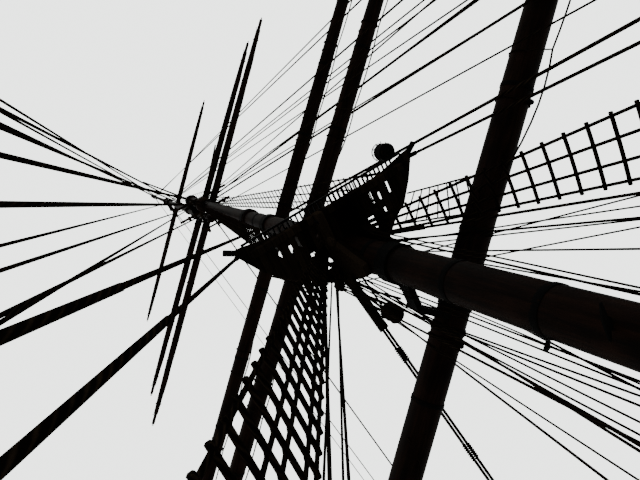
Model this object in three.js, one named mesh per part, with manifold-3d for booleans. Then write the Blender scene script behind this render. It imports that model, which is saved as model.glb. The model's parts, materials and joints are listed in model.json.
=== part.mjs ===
// Square-rigged mast of a sailing ship: a pole mast with its top, a topgallant mast stepped on its
// fore side, six yards on swivels and sliding parrels, and the standing rigging down to the rails.
// Millimetres. The origin is the heel on the deck, +X is forward, +Y is to port, +Z is up.

import * as THREE from 'three';
import { mergeVertices } from 'three/addons/utils/BufferGeometryUtils.js';
import Module from 'manifold-3d';

const wasm = await Module();
wasm.setup();

// Heights of the main pieces above the deck
const frameHeight = 8700;        // underside of the trestletrees
const platformHeight = 9050;     // underside of the planked top
const platformThickness = 60;
const lowerHounds = 9700;        // lower shrouds
const capHounds = 14400;         // cap backstays
const topmastHounds = 20900;     // topmast shrouds and backstays
const doublingHeight = 21500;    // underside of the upper trestletrees
const upperCapHeight = 23600;
const topgallantHounds = 31400;
const royalHounds = 37300;
const topgallantHeight = 38250;
const railHeight = 600;          // where the shrouds are set up
const stayFootHeight = 300;

// Masts: outer radius at each height
const poleProfile = [[318, 0], [306, 3600], [282, 9000], [236, 14000], [196, 18000], [182, 21300], [172, 24050]];
const topgallantX = 620;
const topgallantProfile = [
  [150, 21350], [147, 24300], [140, 25300], [114, 31400], [108, 32600], [72, 37300], [56, 38250],
];
const mastSides = 20;

// Rails and ropes
const halfBeam = 4900;           // from the centre line to the rails
const shroudRadius = 21;
const lightRadius = 15;
const seat = 0.3;                // gap between touching pieces
const lugLength = 90;            // how far a lug stands out of what carries it

// Yards: height, how far the pin stands ahead of the deck's origin, clear space between the pin and
// the yard's back, half length, middle radius, radius at the arm's end, and the angle they are braced to
const yards = [
  ['lower_yard', 7450, 860, 478, 12500, 280, 163, 45.7],
  ['lower_topsail_yard', 13500, 962, 130, 11300, 235, 136, 44.9],
  ['upper_topsail_yard', 15350, 837, 130, 10700, 210, 122, 45.6],
  ['lower_topgallant_yard', 24350, 1050, 130, 9300, 160, 93, 46.4],
  ['upper_topgallant_yard', 25750, 1007, 130, 8500, 150, 87, 46],
  ['royal_yard', 32600, 1199, 130, 6540, 130, 76, 46.8],
].map(([name, height, pinX, yoke, half, middle, arm, brace]) => (
  { name, height, pinX, yoke, half, middle, arm, brace }));
const yardSides = 16;
const forkPlay = 0.5;
const forkWidth = 110;

const tar = new THREE.MeshStandardMaterial({ color: 0x15130f, roughness: 0.85, metalness: 0 });
const darkPaint = new THREE.MeshStandardMaterial({ color: 0x2a1c12, roughness: 0.55, metalness: 0 });
const planking = new THREE.MeshStandardMaterial({ color: 0x1d1610, roughness: 0.8, metalness: 0 });
const ironwork = new THREE.MeshStandardMaterial({ color: 0x121314, roughness: 0.5, metalness: 0.7 });

const at = (x, y, z) => new THREE.Vector3(x, y, z);

function toSolid(geometry) {
  const bare = geometry.clone();
  bare.deleteAttribute('normal');
  bare.deleteAttribute('uv');
  const merged = mergeVertices(bare, 1e-3);
  const corners = [];
  for (let i = 0; i < merged.index.count; i += 3) {
    const [a, b, c] = [0, 1, 2].map((k) => merged.index.getX(i + k));
    if (a !== b && b !== c && c !== a) corners.push(a, b, c);
  }
  return new wasm.Manifold(new wasm.Mesh({
    numProp: 3,
    vertProperties: merged.attributes.position.array,
    triVerts: new Uint32Array(corners),
  }));
}

function fromSolid(solid) {
  const { vertProperties, triVerts } = solid.getMesh();
  const geometry = new THREE.BufferGeometry();
  geometry.setAttribute('position', new THREE.BufferAttribute(new Float32Array(vertProperties), 3));
  geometry.setIndex(new THREE.BufferAttribute(new Uint32Array(triVerts), 1));
  geometry.computeVertexNormals();
  return geometry;
}

function fuse(shapes, cuts = []) {
  let solid = toSolid(shapes[0]);
  for (const shape of shapes.slice(1)) solid = solid.add(toSolid(shape));
  for (const cut of cuts) solid = solid.subtract(toSolid(cut));
  return fromSolid(solid);
}

function named(name, geometry, material) {
  const mesh = new THREE.Mesh(geometry, material);
  mesh.name = name;
  return mesh;
}

function rod(from, to, radius, endRadius = radius, sides = 6) {
  const axis = to.clone().sub(from);
  const geometry = new THREE.CylinderGeometry(endRadius, radius, axis.length(), sides);
  geometry.applyQuaternion(new THREE.Quaternion().setFromUnitVectors(at(0, 1, 0), axis.normalize()));
  const middle = from.clone().add(to).multiplyScalar(0.5);
  return geometry.translate(middle.x, middle.y, middle.z);
}

function block(x0, x1, y0, y1, z0, z1) {
  const geometry = new THREE.BoxGeometry(x1 - x0, y1 - y0, z1 - z0);
  return geometry.translate((x0 + x1) / 2, (y0 + y1) / 2, (z0 + z1) / 2);
}

// A solid of revolution about +Z from [radius, height] pairs
function turned(profile, sides) {
  const points = profile.map(([radius, height]) => new THREE.Vector2(radius, height));
  return new THREE.LatheGeometry(points, sides).rotateX(Math.PI / 2);
}

// A level slab from [x, y] corners
function slab(corners, bottom, top) {
  const shape = new THREE.Shape(corners.map(([x, y]) => new THREE.Vector2(x, y)));
  return new THREE.ExtrudeGeometry(shape, { depth: top - bottom, bevelEnabled: false })
    .translate(0, 0, bottom);
}

const closed = (profile) => [[0, profile[0][1]], ...profile, [0, profile[profile.length - 1][1]]];

function radiusAt(profile, height) {
  const next = profile.findIndex(([, z]) => z >= height);
  const [[r0, z0], [r1, z1]] = [profile[Math.max(next - 1, 0)], profile[next]];
  return next === 0 ? r1 : r0 + (r1 - r0) * (height - z0) / (z1 - z0);
}

// A point just outside a mast, x ahead of its axis
const lugStand = 5;
function onPole(x, hand, height) {
  const radius = radiusAt(poleProfile, height) + lugStand;
  return at(x, hand * Math.sqrt(radius ** 2 - x ** 2), height);
}

function onTopgallant(x, hand, height) {
  const radius = radiusAt(topgallantProfile, height) + lugStand;
  return at(topgallantX + x, hand * Math.sqrt(radius ** 2 - x ** 2), height);
}

// Lugs that ropes end on, gathered for each piece that carries them
const lugs = { pole: [], topgallant: [], platform: [], trees: [], port: [], starboard: [] };

// One rope between two lugs
function rope(top, foot, topCarrier, footCarrier, radius) {
  const along = foot.clone().sub(top).normalize();
  const start = top.clone().addScaledVector(along, lugLength * 2);
  const end = foot.clone().addScaledVector(along, -lugLength);
  lugs[topCarrier].push(rod(top, start, radius * 1.5));
  if (footCarrier) lugs[footCarrier].push(rod(end, foot, radius * 1.7));
  const from = start.addScaledVector(along, seat);
  const to = footCarrier ? end.addScaledVector(along, -seat) : foot;
  return { from, to, shape: rod(from, to, radius) };
}

function onRope({ from, to }, height) {
  return from.clone().lerp(to, (height - from.z) / (to.z - from.z));
}

// Shrouds of one side, joined by the bars that are lashed across them
function shroudGang({ tops, feet, topCarrier, footCarrier, radius, bars, barRadius, overhang }) {
  const ropes = tops.map((top, i) => rope(top, feet[i], topCarrier, footCarrier, radius));
  const outer = [ropes[0], ropes[ropes.length - 1]];
  const across = bars.map((height) => {
    const [fore, aft] = outer.map((line) => onRope(line, height));
    const reach = fore.clone().sub(aft).normalize().multiplyScalar(overhang);
    return rod(fore.add(reach), aft.sub(reach), barRadius, barRadius, 4);
  });
  return fuse([...ropes.map(({ shape }) => shape), ...across]);
}

const steps = (from, to, pitch) => {
  const count = Math.round((to - from) / pitch);
  return Array.from({ length: count + 1 }, (_, i) => from + (to - from) * i / count);
};

const group = new THREE.Group();
const sides = [['port', 1], ['starboard', -1]];

// Standing rigging of each side, with its feet along the rail, port first
const lowerFeet = { port: [-730, -1270, -1590, -2300], starboard: [-450, -990, -1610, -2170] };
const hornTip = (hand) => at(-950, hand * 1900, platformHeight + platformThickness);
const backstays = [
  { name: 'horn_backstay', top: hornTip, feet: [-3040, -2780], carrier: 'platform', radius: 28 },
  { name: 'cap_backstay', top: (hand) => onPole(150, hand, capHounds), feet: [-3575, -3165],
    carrier: 'pole', radius: 30 },
  { name: 'topmast_fore_backstay', top: (hand) => onPole(-150, hand, topmastHounds - 500),
    feet: [-4260, -3910], carrier: 'pole', radius: 26 },
  { name: 'topmast_aft_backstay', top: (hand) => onPole(-170, hand, topmastHounds - 150),
    feet: [-4800, -4600], carrier: 'pole', radius: 26 },
  { name: 'topgallant_backstay', top: (hand) => onTopgallant(-70, hand, topgallantHounds),
    feet: [-5550, -5310], carrier: 'topgallant', radius: 22 },
  { name: 'royal_backstay', top: (hand) => onTopgallant(-40, hand, royalHounds), feet: [-5900, -5780],
    carrier: 'topgallant', radius: 19 },
];
for (const [side, hand] of sides) {
  group.add(named(`lower_shrouds_${side}`, shroudGang({
    tops: [60, 10, -50, -115].map((x) => onPole(x, hand, lowerHounds)),
    feet: lowerFeet[side].map((x) => at(x, hand * halfBeam, railHeight)),
    topCarrier: 'pole', footCarrier: side, radius: shroudRadius,
    bars: steps(1480, 8760, 1456), barRadius: 20, overhang: 60,
  }), tar));
  group.add(named(`topmast_shrouds_${side}`, shroudGang({
    tops: [70, 20, -30, -85].map((x) => onPole(x, hand, topmastHounds)),
    feet: [-120, -400, -680, -960].map((x) => at(x, hand * 1170, platformHeight + 20)),
    topCarrier: 'pole', footCarrier: 'platform', radius: lightRadius,
    bars: steps(9550, 20300, 2150), barRadius: 12, overhang: 35,
  }), tar));
  group.add(named(`topgallant_shrouds_${side}`, shroudGang({
    tops: [20, -45].map((x) => onTopgallant(x, hand, topgallantHounds - 300)),
    feet: [235, -260].map((x) => at(x, hand * 1050, doublingHeight + 160)),
    topCarrier: 'topgallant', footCarrier: 'trees', radius: 12,
    bars: steps(22200, 30400, 2733), barRadius: 10, overhang: 25,
  }), tar));
  for (const { name, top, feet: [port, starboard], carrier, radius } of backstays) {
    const foot = at(hand > 0 ? port : starboard, hand * halfBeam, railHeight);
    const line = rope(top(hand), foot, carrier, side, radius);
    group.add(named(`${name}_${side}`, fuse([line.shape]), tar));
  }
}

// Stays in the centre plane. The lower one is double.
const stays = [
  { name: 'topmast_stay', x: 180, height: topmastHounds + 200, foot: 23500, carrier: 'pole', radius: 24 },
  { name: 'topgallant_stay', x: topgallantX + 110, height: topgallantHounds + 200, foot: 24600,
    carrier: 'topgallant', radius: 20 },
  { name: 'royal_stay', x: topgallantX + 70, height: royalHounds + 150, foot: 25700,
    carrier: 'topgallant', radius: 17 },
];
for (const { name, x, height, foot, carrier, radius } of stays) {
  const line = rope(at(x, 0, height), at(foot, 0, stayFootHeight), carrier, null, radius);
  group.add(named(name, fuse([line.shape]), tar));
}
const stayApart = 34;            // from the centre line to each of the two
const lowerStay = sides.map(([, hand]) => rope(
  at(230, hand * stayApart, lowerHounds + 470), at(17040, hand * stayApart, stayFootHeight),
  'pole', null, 30,
));
const seizings = [7800, 4200, 500].map((height) => {
  const [port, starboard] = lowerStay.map((line) => onRope(line, height));
  return rod(port, starboard, 40);
});
group.add(named('lower_stay', fuse([...lowerStay.map(({ shape }) => shape), ...seizings]), tar));

// Rails that the shrouds and backstays are set up on
for (const [side, hand] of sides) {
  const inner = halfBeam - 90;
  const outer = halfBeam + 90;
  const [y0, y1] = hand > 0 ? [inner, outer] : [-outer, -inner];
  group.add(named(`shroud_rail_${side}`,
    fuse([block(-6250, 800, y0, y1, railHeight - 90, railHeight + 10), ...lugs[side]]), planking));
}

// The top: trestletrees on their bibs, and crosstrees, under a planked platform with two horns at its
// after corners
const bibOutline = [[-400, 10], [400, 10], [220, -480], [100, -850], [-100, -850], [-220, -480]];
const bibs = sides.map(([, hand]) => {
  const shape = new THREE.Shape(bibOutline.map(([x, z]) => new THREE.Vector2(x, z)));
  return new THREE.ExtrudeGeometry(shape, { depth: 170, bevelEnabled: false })
    .rotateX(Math.PI / 2).translate(0, hand > 0 ? 400 : -230, frameHeight);
});
const poleHole = turned(closed(poleProfile.map(([radius, height]) => [radius + 2 * seat, height])), mastSides);
const treeY = 365;
const treeTop = frameHeight + 230;
group.add(named('top_frame', fuse([
  ...sides.map(([, hand]) => block(-1000, 480, hand * treeY - 60, hand * treeY + 60, frameHeight, treeTop)),
  block(-960, -840, -1700, 1700, treeTop - 40, platformHeight - seat),
  block(330, 430, -560, 560, treeTop - 40, platformHeight - seat),
  ...bibs,
], [poleHole]), planking));
const halfOutline = [[560, 0], [500, 400], [220, 850], [-20, 1100], [-200, 1400], [-570, 1690], [-1010, 1950],
  [-1095, 1960], [-1080, 1780], [-1020, 1500], [-960, 1200], [-905, 300]];
const outline = [...halfOutline, ...halfOutline.slice(1).reverse().map(([x, y]) => [x, -y])];
// Gaps between the planks: after end, fore end and distance from the centre line
const plankGaps = [
  [-770, -530, 1236], [-750, -500, 830], [-670, -480, 1000], [-350, -170, 1000], [-600, -360, 460],
];
const gapWidth = 66;
const holeThrough = [platformHeight - 50, platformHeight + platformThickness + 50];
group.add(named('top_platform', fuse(
  [slab(outline, platformHeight, platformHeight + platformThickness), ...lugs.platform],
  [
    poleHole,
    ...sides.map(([, hand]) => block(-330, 130, hand * 560 - 170, hand * 560 + 170, ...holeThrough)),
    ...sides.flatMap(([, hand]) => plankGaps.map(([x0, x1, y]) => block(x0, x1,
      hand * y - gapWidth / 2, hand * y + gapWidth / 2, ...holeThrough))),
  ],
), planking));

// Rail along the after edge, with a comb of short bars down to the platform's edge
const combX = -1085;
const railFoot = platformHeight + platformThickness + seat;
const comb = sides.flatMap(([, hand]) => steps(78, 1503, 95).map((y) => block(combX, -860,
  hand * y - 12, hand * y + 12, railFoot, railFoot + 40)));
group.add(named('top_rail', fuse([
  block(combX - 20, combX + 15, -1760, 1760, railFoot, railFoot + 50),
  block(-895, -855, -1560, 1560, railFoot, railFoot + 40),
  ...comb,
]), ironwork));

// Domed lamp on a foot on the after rail, to starboard
const lampX = -1180;
const lampY = -1630;
const lampBase = platformHeight + 250;
group.add(named('top_lamp', fuse([
  turned([[0, lampBase], [125, lampBase], [175, lampBase + 40], [175, lampBase + 230], [135, lampBase + 310],
    [0, lampBase + 345]], 14).translate(lampX, lampY, 0),
  ...[-95, 95].map((y) => block(combX - 20, combX + 15, lampY + y - 15, lampY + y + 15,
    railFoot + 50 + seat, lampBase + 60)),
]), ironwork));

// Upper trestletrees and crosstrees, and the cap above them
const upperTreeTop = doublingHeight + 120;
group.add(named('upper_trees', fuse([
  ...sides.map(([, hand]) => block(-300, 1000, hand * 250 - 40, hand * 250 + 40, doublingHeight, upperTreeTop)),
  block(-300, -220, -1150, 1150, upperTreeTop - 30, upperTreeTop + 50),
  block(195, 275, -1100, 1100, upperTreeTop - 30, upperTreeTop + 50),
  ...sides.map(([, hand]) => rod(at(-240, hand * 230, upperTreeTop), at(-1800, hand * 1550, upperTreeTop), 42, 30)),
  block(900, 960, -500, 500, upperTreeTop - 30, upperTreeTop + 50),
  ...lugs.trees,
]), planking));
const capHoles = [
  [0, radiusAt(poleProfile, upperCapHeight) + 2 * seat],
  [topgallantX, radiusAt(topgallantProfile, upperCapHeight) + 2 * seat],
];
group.add(named('upper_cap', fuse(
  [
    ...capHoles.map(([x, radius]) => rod(at(x, 0, upperCapHeight), at(x, 0, upperCapHeight + 240),
      radius + 90, radius + 90, mastSides)),
    block(0, topgallantX, -230, 230, upperCapHeight, upperCapHeight + 240),
  ],
  capHoles.map(([x, radius]) => turned(closed([[radius, upperCapHeight - 50], [radius, upperCapHeight + 300]]),
    mastSides).translate(x, 0, 0)),
), ironwork));

// Yards on their swivels. What carries a yard has an arm with an upright barrel; the yard's fork
// holds the barrel from above and below.
function carrier(yard, mastX, inner, outer) {
  const reach = 0.55 * yard.middle;
  const { height, pinX } = yard;
  return fuse([
    turned(closed([[outer, height - reach], [outer, height + reach]]), mastSides).translate(mastX, 0, 0),
    block(mastX, pinX, -55, 55, height - reach + 20, height + reach - 20),
    rod(at(pinX, 0, height - reach), at(pinX, 0, height + reach), 60, 60, 12),
  ], [turned(closed([[inner, height - reach - 50], [inner, height + reach + 50]]), mastSides)
    .translate(mastX, 0, 0)]);
}

function yardShape({ half, middle, arm, yoke }) {
  const taper = [[arm * 0.72, 1], [arm * 0.72, 0.95], [arm, 0.95], [middle * 0.8, 0.75], [middle * 0.93, 0.5],
    [middle * 0.985, 0.25]];
  const outer = taper.map(([radius, part]) => [radius, -part * half]);
  const spar = turned(closed([...outer, ...outer.map(([radius, y]) => [radius, -y]).reverse()]), yardSides)
    .rotateX(-Math.PI / 2);
  const reach = 0.55 * middle;
  const offset = middle + yoke;
  spar.translate(offset, 0, 0);
  const forks = [1, -1].map((up) => {
    const near = up * (reach + forkPlay);
    const far = near + up * 45;
    return block(-75, offset, -forkWidth / 2, forkWidth / 2, Math.min(near, far), Math.max(near, far));
  });
  const strap = block(yoke - 20, yoke + middle * 0.6, -forkWidth / 2, forkWidth / 2, -reach - 20, reach + 20);
  return fuse([spar, ...forks, strap]);
}

for (const yard of yards) {
  const swivel = new THREE.Group();
  swivel.position.set(yard.pinX, 0, yard.height);
  swivel.rotation.z = THREE.MathUtils.degToRad(-yard.brace);
  swivel.add(named(yard.name, yardShape(yard), darkPaint));
  group.add(swivel);
}

const [lowerYard, lowerTopsail, upperTopsail, lowerTopgallant, upperTopgallant, royal] = yards;
const fixedCarriers = [
  ['lower_truss', lowerYard, 0, poleProfile],
  ['lower_topsail_truss', lowerTopsail, 0, poleProfile],
  ['lower_topgallant_truss', lowerTopgallant, topgallantX, topgallantProfile],
];
for (const [name, yard, x, profile] of fixedCarriers) {
  const inner = radiusAt(profile, yard.height - 0.55 * yard.middle) + 2 * seat;
  group.add(named(name, carrier(yard, x, inner, inner + 45), ironwork));
}
const slidePlay = 8;
const slidingCarriers = [
  ['upper_topsail_parrel', upperTopsail, 0, poleProfile, 'pole'],
  ['upper_topgallant_parrel', upperTopgallant, topgallantX, topgallantProfile, 'topgallant'],
  ['royal_parrel', royal, topgallantX, topgallantProfile, 'topgallant'],
];
for (const [name, yard, x, profile, mast] of slidingCarriers) {
  const foot = yard.height - 0.55 * yard.middle;
  const inner = radiusAt(profile, foot) + slidePlay;
  group.add(named(name, carrier(yard, x, inner, inner + 60), ironwork));
  lugs[mast].push(turned(closed([[inner + 40, foot - 70], [inner + 40, foot - seat]]), mastSides)
    .translate(x, 0, 0));
}

// The shoulder under the upper trestletrees, and the two masts
const shoulder = turned(closed([[190, doublingHeight - 320], [300, doublingHeight - 120],
  [300, doublingHeight - seat]]), mastSides);
group.add(named('lower_mast', fuse(
  [turned(closed(poleProfile), mastSides), shoulder, ...lugs.pole],
), darkPaint));

const fidTop = upperTreeTop + 110;
group.add(named('topgallant_mast', fuse([
  turned(closed(topgallantProfile), mastSides).translate(topgallantX, 0, 0),
  block(topgallantX - 45, topgallantX + 45, -320, 320, upperTreeTop + seat, fidTop),
  ...lugs.topgallant,
]), darkPaint));

const truckBase = topgallantHeight + seat;
group.add(named('truck', turned([
  [0, truckBase], [70, truckBase], [120, truckBase + 40], [120, truckBase + 90], [60, truckBase + 130],
  [0, truckBase + 140],
], 14).translate(topgallantX, 0, 0), darkPaint));

export default group;
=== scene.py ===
import json
from math import ceil, cos, pi, radians, sin, sqrt
import bpy
import bmesh
from mathutils import Matrix, Vector

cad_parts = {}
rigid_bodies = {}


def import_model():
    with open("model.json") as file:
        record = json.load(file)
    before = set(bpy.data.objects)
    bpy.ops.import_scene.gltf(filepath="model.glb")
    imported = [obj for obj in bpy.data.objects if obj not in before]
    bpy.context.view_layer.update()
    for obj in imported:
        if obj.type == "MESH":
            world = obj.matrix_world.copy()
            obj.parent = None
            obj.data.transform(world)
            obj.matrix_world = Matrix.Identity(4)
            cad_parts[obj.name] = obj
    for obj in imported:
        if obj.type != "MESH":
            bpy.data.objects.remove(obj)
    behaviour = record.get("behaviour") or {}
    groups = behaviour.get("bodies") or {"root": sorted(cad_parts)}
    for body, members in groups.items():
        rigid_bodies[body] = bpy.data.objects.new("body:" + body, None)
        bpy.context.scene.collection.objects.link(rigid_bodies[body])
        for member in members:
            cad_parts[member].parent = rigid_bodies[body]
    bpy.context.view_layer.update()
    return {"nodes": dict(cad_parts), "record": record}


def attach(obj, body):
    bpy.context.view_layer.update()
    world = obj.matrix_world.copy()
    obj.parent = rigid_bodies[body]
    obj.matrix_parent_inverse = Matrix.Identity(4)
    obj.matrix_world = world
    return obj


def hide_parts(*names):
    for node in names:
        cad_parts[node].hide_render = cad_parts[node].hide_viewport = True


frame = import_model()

print("loaded", len(frame["nodes"]), "nodes of the mast")


# Node trees, for shaders and for geometry alike

class Wire:
    # an output socket that is reckoned with like a number
    def __init__(self, desk, made, output=0):
        self.desk = desk
        self.made = made
        self.socket = made.outputs[output]

    def out(self, output):
        return Wire(self.desk, self.made, output)

    def calc(self, operation, other=0.0):
        return self.desk.calc(operation, self, other)

    def __add__(self, other):
        return self.calc("ADD", other)

    def __sub__(self, other):
        return self.calc("SUBTRACT", other)

    def __rsub__(self, other):
        return self.desk.calc("SUBTRACT", other, self)

    def __mul__(self, other):
        return self.calc("MULTIPLY", other)

    def __truediv__(self, other):
        return self.calc("DIVIDE", other)

    __radd__ = __add__

    def rise(self, low, high):  # 0 under low, 1 over high, smooth between
        values = {"Value": self, "From Min": low, "From Max": high}
        return self.desk.node("MapRange", values, interpolation_type="SMOOTHSTEP")


class Desk:
    # a node tree being wired
    def __init__(self, tree):
        self.tree = tree

    def node(self, kind, values=None, output=0, family="Shader", **settings):
        made = self.tree.nodes.new(family + "Node" + kind)
        for key, value in settings.items():
            setattr(made, key, value)
        for key, value in (values or {}).items():
            self.plug(made.inputs[key], value)
        return Wire(self, made, output)

    def calc(self, operation, first, second):
        return self.node("Math", {0: first, 1: second}, operation=operation)

    def plug(self, socket, value):
        if isinstance(value, Wire):
            self.tree.links.new(value.socket, socket)
        else:
            socket.default_value = value


class Finish(Desk):
    # a material's tree
    def __init__(self, name):
        self.material = bpy.data.materials.new(name)
        self.material.use_nodes = True
        super().__init__(self.material.node_tree)
        self.shader = self.tree.nodes["Principled BSDF"]

    def place(self, stretch=(1, 1, 1), turn=0.0):
        spot = self.node("TexCoord").out("Object")
        turned = self.node("Mapping", {"Vector": spot, "Rotation": (0, 0, turn)})
        return self.node("VectorMath", {0: turned, 1: stretch}, operation="MULTIPLY")

    def noise(self, spot, scale, detail, rough):
        values = {"Vector": spot, "Scale": scale, "Detail": detail, "Roughness": rough}
        return self.node("TexNoise", values, "Fac")

    def tint(self, mask, low, high):
        low, high = [colour if isinstance(colour, Wire) else (*colour, 1) for colour in (low, high)]
        return self.node("Mix", {0: mask, 6: low, 7: high}, 2, data_type="RGBA")

    def bump(self, height, depth):
        return self.node("Bump", {"Height": height, "Distance": depth})

    def done(self, colour, rough, normal, sheen=0.0, metal=0.0):
        values = {"Base Color": colour, "Roughness": rough, "Normal": normal, "Specular IOR Level": sheen,
                  "Metallic": metal}
        for key, value in values.items():
            self.plug(self.shader.inputs[key], value)
        return self.material


class Grower(Desk):
    # a geometry tree, whose inputs are its geometry and the named sockets
    def __init__(self, name, sockets):
        super().__init__(bpy.data.node_groups.new(name, "GeometryNodeTree"))
        kinds = {"Geometry": "Geometry", **sockets}
        face = self.tree.interface
        for label, kind in kinds.items():
            face.new_socket(name=label, in_out="INPUT", socket_type="NodeSocket" + kind)
        face.new_socket(name="Geometry", in_out="OUTPUT", socket_type="NodeSocketGeometry")
        entry = self.tree.nodes.new("NodeGroupInput")
        self.given = {label: Wire(self, entry, label) for label in kinds}

    def geo(self, kind, values=None, output=0, **settings):
        return self.node(kind, values, output, "Geometry", **settings)

    def aimed(self, way):  # the turn that brings z to a way
        return self.node("AlignRotationToVector", {"Vector": way}, 0, "Function", axis="Z")

    def attribute(self, label, kind):
        return self.geo("InputNamedAttribute", {"Name": label}, "Attribute", data_type=kind)

    def keep(self, shape, label, kind, value):
        values = {"Geometry": shape, "Name": label, "Value": value}
        return self.geo("StoreNamedAttribute", values, data_type=kind)

    def sweep(self, line, sides, radius):
        # a tube that keeps its way round and its way along for the laid finish
        line = self.keep(line, "along", "FLOAT", self.geo("SplineParameter").out("Length"))
        ring = self.geo("CurvePrimitiveCircle", {"Resolution": sides})
        ring = self.keep(ring, "around", "FLOAT_VECTOR", self.geo("InputPosition"))
        values = {"Curve": line, "Profile Curve": ring, "Scale": radius, "Fill Caps": True}
        return self.geo("CurveToMesh", values)

    def close(self, shape):
        solid = self.geo("RealizeInstances", {"Geometry": shape})
        self.plug(self.tree.nodes.new("NodeGroupOutput").inputs["Geometry"], solid)
        return self.tree


# Finishes. Colours are linear. A noise is its scale, detail and roughness, and a mask starts and ends
# at two values of what it is made from.

def sparPaint(name, stretch, turn=0.0):
    # painted sheen: the base runs from the deep near black to a reddish warm tone in streaks and clouds,
    # partly the paint's own reddish brown and partly a painted sheen
    look = {"deep": (0.0007, 0.0004, 0.0003), "warmPaintAndSheen": (0.0032, 0.0014, 0.0009),
            "chalk": (0.006, 0.0036, 0.0026), "streaks": (16.0, 5.0, 0.65), "clouds": (1.7, 3.0, 0.5),
            "scuffs": (9.0, 6.0, 0.7), "rough": 0.5, "wear": 0.5, "brush": 0.0006, "sheen": 0.004}
    work = Finish(name)
    streaks = work.noise(work.place(stretch, turn), *look["streaks"])
    clouds = work.noise(work.place(turn=turn), *look["clouds"])
    scuffs = work.noise(work.place((1, 1, 0.4), turn), *look["scuffs"])
    # the warm tone laid in streaks and clouds is partly the paint's colour and partly a painted sheen
    base = work.tint((streaks * 0.7 + clouds * 0.5).rise(0.45, 0.85), look["deep"], look["warmPaintAndSheen"])
    worn = scuffs.rise(0.62, 0.78) * clouds.rise(0.45, 0.6) * look["wear"]
    colour = work.tint(worn, base, look["chalk"])
    grain = work.bump(streaks + scuffs * 0.4, look["brush"])
    return work.done(colour, look["rough"] + worn * 0.35 + streaks * 0.12, grain, look["sheen"])


def timberFinish(name):
    look = {"dark": (0.0008, 0.0006, 0.0005), "light": (0.0045, 0.003, 0.002), "plank": 0.145, "seam": 0.006,
            "grain": (22.0, 6.0, 0.6), "rough": 0.75, "depth": 0.003}
    work = Finish(name)
    across = work.node("SeparateXYZ", {0: work.place()}).out("Y") / look["plank"]
    grain = work.noise(work.place((0.12, 1.6, 1.6)), *look["grain"])
    board = work.node("TexWhiteNoise", {"W": across.calc("FLOOR")}, "Value", noise_dimensions="1D")
    part = across.calc("FRACT")
    seam = part.calc("MINIMUM", 1 - part).rise(0.0, 2 * look["seam"] / look["plank"])
    colour = work.tint(seam * (grain * 0.7 + board * 0.4).rise(0.3, 0.9), look["dark"], look["light"])
    normal = work.bump(seam + grain * 0.15, look["depth"])
    return work.done(colour, look["rough"] + grain * 0.15, normal)


def ironFinish(name):
    look = {"black": (0.0007, 0.0007, 0.0007), "rust": (0.006, 0.0022, 0.0011), "pits": (38.0, 6.0, 0.7),
            "bloom": (6.5, 4.0, 0.6), "rough": 0.6, "metal": 0.01, "depth": 0.0012, "sheen": 0.002}
    work = Finish(name)
    spot = work.place()
    pits = work.noise(spot, *look["pits"])
    bloom = work.noise(spot, *look["bloom"])
    rust = pits.rise(0.5, 0.66) * bloom.rise(0.52, 0.68)
    colour = work.tint(rust, look["black"], look["rust"])
    metal = look["metal"] - rust * look["metal"]
    return work.done(colour, look["rough"] + rust * 0.4, work.bump(pits, look["depth"]), look["sheen"], metal)


def ropeFinish(name, laid):
    look = {"tar": (0.0008, 0.0006, 0.0005), "worn": (0.005, 0.0034, 0.0022), "fuzz": (60.0, 5.0, 0.7),
            "patches": (3.0, 3.0, 0.5), "strands": 3, "lay": 34.0, "wires": (120.0, 2.0, 0.4),
            "rough": 0.8}
    work = Finish(name)
    spot = work.place()
    fuzz = work.noise(spot, *look["fuzz"])
    patches = work.noise(spot, *look["patches"])
    if laid:  # the strands wind along the rope, from what its tree keeps on it
        around = work.node("Attribute", attribute_name="around").out("Vector")
        along = work.node("Attribute", attribute_name="along").out("Fac")
        face = work.node("SeparateXYZ", {0: around})
        angle = face.out("Y").calc("ARCTAN2", face.out("X"))
        ridge = (angle * look["strands"] + along * look["lay"]).calc("SINE") * 0.5 + 0.5
    else:
        ridge = work.noise(work.place((1, 1, 0.25)), *look["wires"])
    worn = (ridge * 0.4 + patches * 0.5 + fuzz * 0.3).rise(0.55, 0.95)
    colour = work.tint(worn, look["tar"], look["worn"])
    normal = work.bump(ridge + fuzz * 0.35, 0.004 if laid else 0.0015)
    return work.done(colour, look["rough"] - ridge * 0.12, normal)


def floorFinish(name):
    look = {"pale": (0.62, 0.62, 0.59), "shade": (0.56, 0.56, 0.535), "clouds": (0.35, 3.0, 0.5),
            "rough": 0.85, "depth": 0.002, "sheen": 0.5}
    work = Finish(name)
    clouds = work.noise(work.place(), *look["clouds"])
    colour = work.tint(clouds, look["shade"], look["pale"])
    return work.done(colour, look["rough"], work.bump(clouds, look["depth"]), look["sheen"])


finishes = {
    "mast": sparPaint("mastPaint", (1, 1, 0.06)),
    "yard": sparPaint("yardPaint", (1, 0.06, 1), radians(45.8)),
    "timber": timberFinish("darkPlanks"),
    "iron": ironFinish("blackIron"),
    "rope": ropeFinish("tarredWire", False),
    "laid": ropeFinish("laidRope", True),
}


def coat(mesh, finish):
    mesh.materials.clear()
    mesh.materials.append(finishes[finish])


def dressNodes():
    keys = {"timber": "timber", "ironwork": "iron", "tarred_rope": "rope"}
    for part in frame["record"]["subparts"]:
        key = keys.get(part["material_slot"]) or ("yard" if part["node"].endswith("_yard") else "mast")
        coat(frame["nodes"][part["node"]].data, key)


# Trees

def ropeTree():
    # a tube along every run of edges
    work = Grower("ropeWork", {"Sides": "Int"})
    line = work.geo("MeshToCurve", {"Mesh": work.given["Geometry"]})
    tube = work.sweep(line, work.given["Sides"], work.attribute("thickness", "FLOAT"))
    return work.close(work.geo("SetShadeSmooth", {"Geometry": tube}))


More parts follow.
